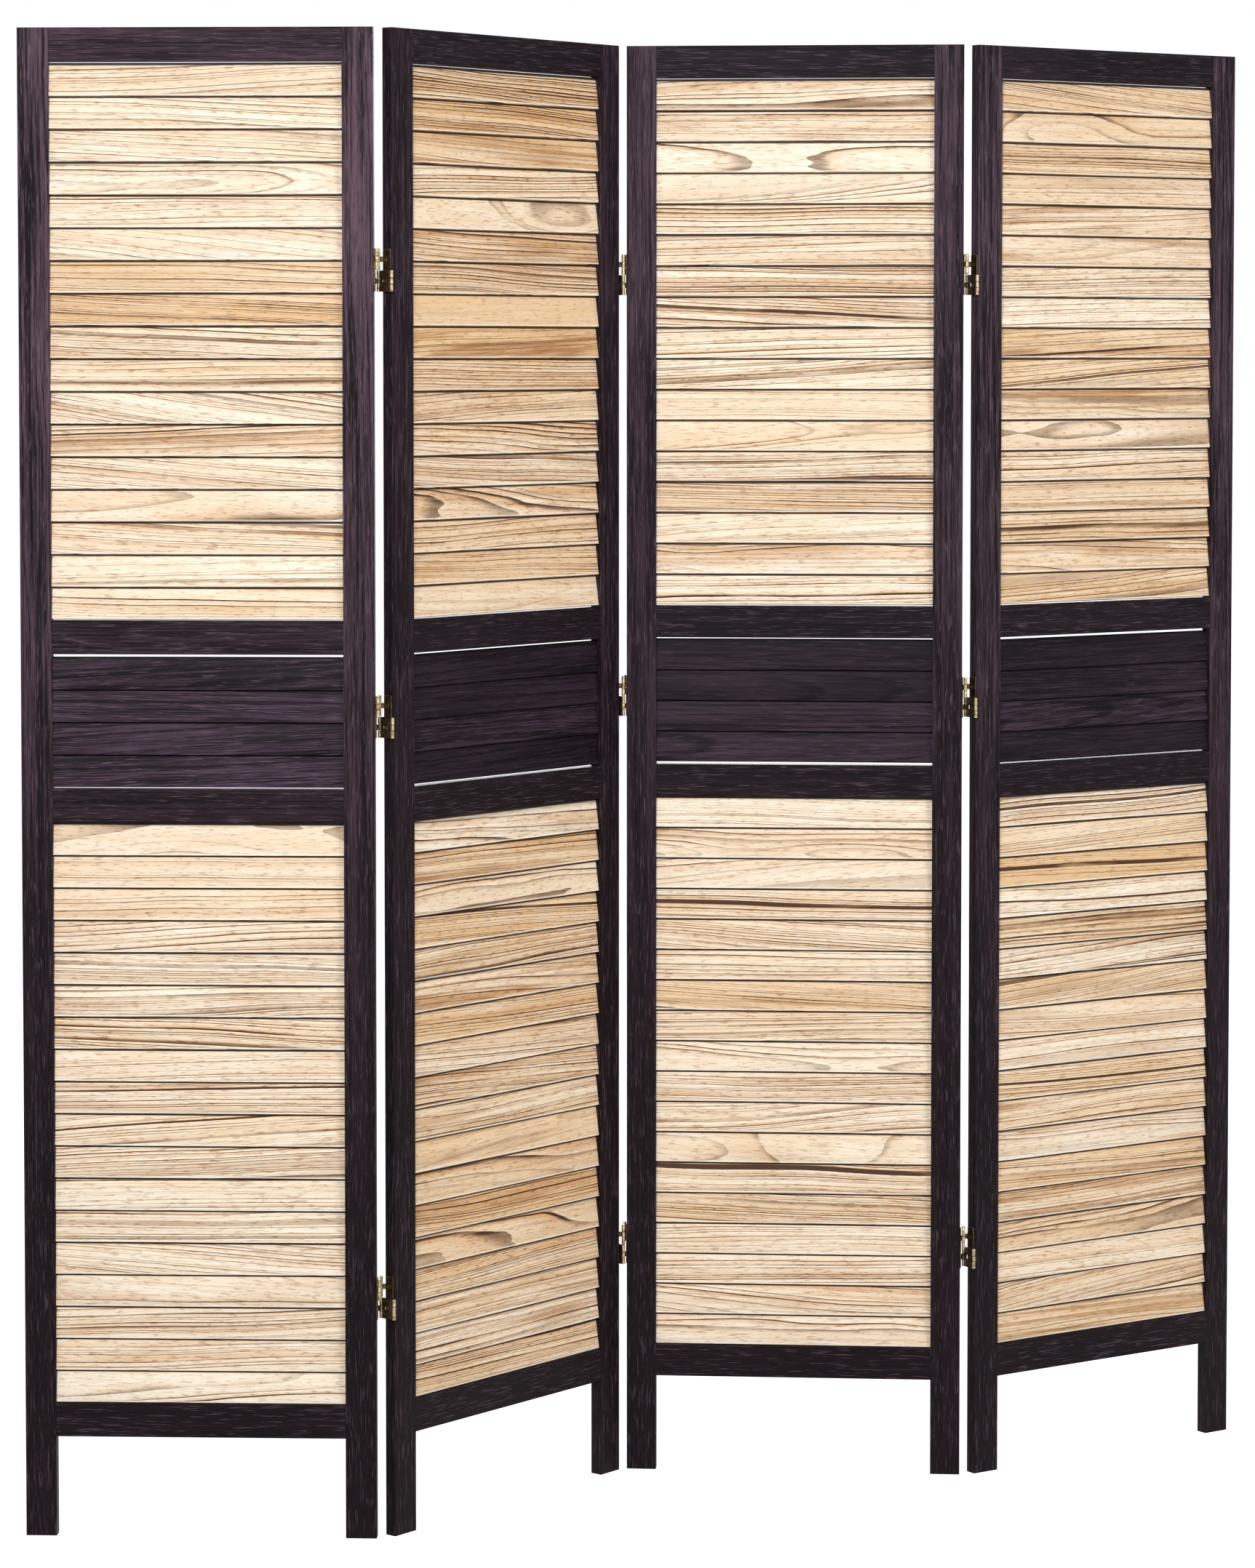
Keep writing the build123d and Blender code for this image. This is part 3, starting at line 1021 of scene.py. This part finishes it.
def finish_metal(bm, name, node, body, materials):
    """Makes a piece from millimetres, which stands for node if one is given."""
    bmesh.ops.recalc_face_normals(bm, faces=bm.faces)
    mesh = bpy.data.meshes.new(name)
    bm.to_mesh(mesh)
    bm.free()
    mesh.transform(Matrix.Scale(MM, 4))
    mesh.shade_smooth()
    for material in materials:
        mesh.materials.append(material)
    piece = add_object(name, mesh)
    split_sharp_edges(piece, METAL_SHARP_ANGLE)
    if node:
        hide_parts(node)
    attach(piece, body)


def in_millimetres(place):
    """A place in metres as one in millimetres."""
    return Matrix.Translation(place.translation / MM) @ place.to_3x3().to_4x4()


leaf_metals = (
    hinge_metal("hinge_plate_brass", colour(58, 48, 38), colour(112, 94, 68), 0.30),
    hinge_metal("hinge_barrel_brass", colour(104, 88, 64), colour(212, 196, 160), 0.24),
)
screw_metals = (
    hinge_metal("hinge_screw_brass", colour(88, 74, 54), colour(176, 156, 118), 0.25),
)
for number, (place, following) in enumerate(zip(PLACES, PLACES[1:]), 1):
    prefix = f"hinges_{number}_{number + 1}_"
    on_left = in_millimetres(place) @ Matrix.Translation((PANEL_WIDTH / MM + HALF_GAP, 0, 0))
    on_right = in_millimetres(following) @ Matrix.Translation((-HALF_GAP, 0, 0))
    sides = {f"panel_{number}": on_left, f"panel_{number + 1}": on_right}
    left_body, right_body = sides
    for name in ("left_leaves", "right_leaves", "upper_links_with_pins", "lower_links_with_pins"):
        node = prefix + name
        body = frame["nodes"][node]["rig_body"]
        bm = bmesh.new()
        for height in HINGE_HEIGHTS:
            middle = sides[body] @ Matrix.Translation((0, 0, height))
            if name == "left_leaves":
                add_leaf(bm, middle)
            elif name == "right_leaves":
                add_leaf(bm, middle @ HALF_TURN)
            else:
                level = name.split("_")[0]
                add_link(bm, middle, LINK_STARTS[level])
        finish_metal(bm, node + "_metal", node, body, leaf_metals)
    for name, body, turn in (("left", left_body, Matrix()), ("right", right_body, HALF_TURN)):
        bm = bmesh.new()
        for height in HINGE_HEIGHTS:
            middle = sides[body] @ Matrix.Translation((0, 0, height)) @ turn
            for level in SCREW_LEVELS:
                add_screw(bm, middle, level)
        finish_metal(bm, f"{prefix}{name}_screws", None, body, screw_metals)


# Stage, light and camera


def stage():
    """A pale floor that reads as white and keeps the screen's shadow."""
    mesh = bpy.data.meshes.new("floor")
    corners = (
        (-FLOOR_REACH, -FLOOR_REACH, 0),
        (FLOOR_REACH, -FLOOR_REACH, 0),
        (FLOOR_REACH, FLOOR_REACH, 0),
        (-FLOOR_REACH, FLOOR_REACH, 0),
    )
    mesh.from_pydata(corners, [], [(0, 1, 2, 3)])
    floor = add_object("floor", mesh)
    material, s = new_material("floor")
    diffuse = s.node("ShaderNodeBsdfDiffuse")
    s.put(diffuse.inputs["Color"], (FLOOR_GREY, FLOOR_GREY, FLOOR_GREY, 1))
    glow = s.node("ShaderNodeEmission")
    path = s.node("ShaderNodeLightPath")
    seen = s.math("MAXIMUM", path.outputs["Is Camera Ray"], path.outputs["Is Glossy Ray"])
    s.put(glow.inputs["Strength"], s.times(seen, FLOOR_GLOW))
    both = s.node("ShaderNodeAddShader")
    s.put(both.inputs[0], diffuse.outputs[0])
    s.put(both.inputs[1], glow.outputs[0])
    s.put(s.nodes["Material Output"].inputs["Surface"], both.outputs[0])
    mesh.materials.append(material)


def world_light():
    """A white background, and a softer, even light on the object."""
    world = bpy.data.worlds.new("studio")
    bpy.context.scene.world = world
    world.use_nodes = True
    s = Shader(world.node_tree)
    path = s.node("ShaderNodeLightPath")
    seen = s.math("MAXIMUM", path.outputs["Is Camera Ray"], path.outputs["Is Glossy Ray"])
    seen = s.math("MAXIMUM", seen, path.outputs["Is Transmission Ray"])
    level = s.node("ShaderNodeMapRange")
    s.put(level.inputs["Value"], seen)
    s.put(level.inputs["To Min"], WORLD_LEVEL)
    s.put(level.inputs["To Max"], 1.0)
    background = s.nodes["Background"]
    s.put(background.inputs["Strength"], level.outputs[0])
    s.put(background.inputs["Color"], (1, 1, 1, 1))


def soft_box(name, place, target, size, power):
    """A rectangular lamp that points at a target."""
    light = bpy.data.lights.new(name, "AREA")
    light.shape = "RECTANGLE"
    light.size, light.size_y = size
    light.energy = power
    lamp = add_object(name, light)
    lamp.location = place
    way = Vector(target) - Vector(place)
    lamp.rotation_euler = way.to_track_quat("-Z", "Y").to_euler()


stage()
world_light()
for name, settings in LAMPS.items():
    soft_box(name, *settings)

lens = bpy.data.cameras.new("camera")
camera = add_object("camera", lens)
camera.location = CAMERA_PLACE
camera.rotation_euler = (math.pi / 2 - CAMERA_PITCH, 0, CAMERA_TURN)
lens.sensor_width = SENSOR_SIZE
lens.lens = FOCAL_PIXELS / IMAGE_HEIGHT * SENSOR_SIZE
lens.shift_y = (AXIS_ROW - IMAGE_HEIGHT / 2) / IMAGE_HEIGHT
bpy.context.scene.camera = camera
bpy.context.scene.view_settings.view_transform = "Standard"
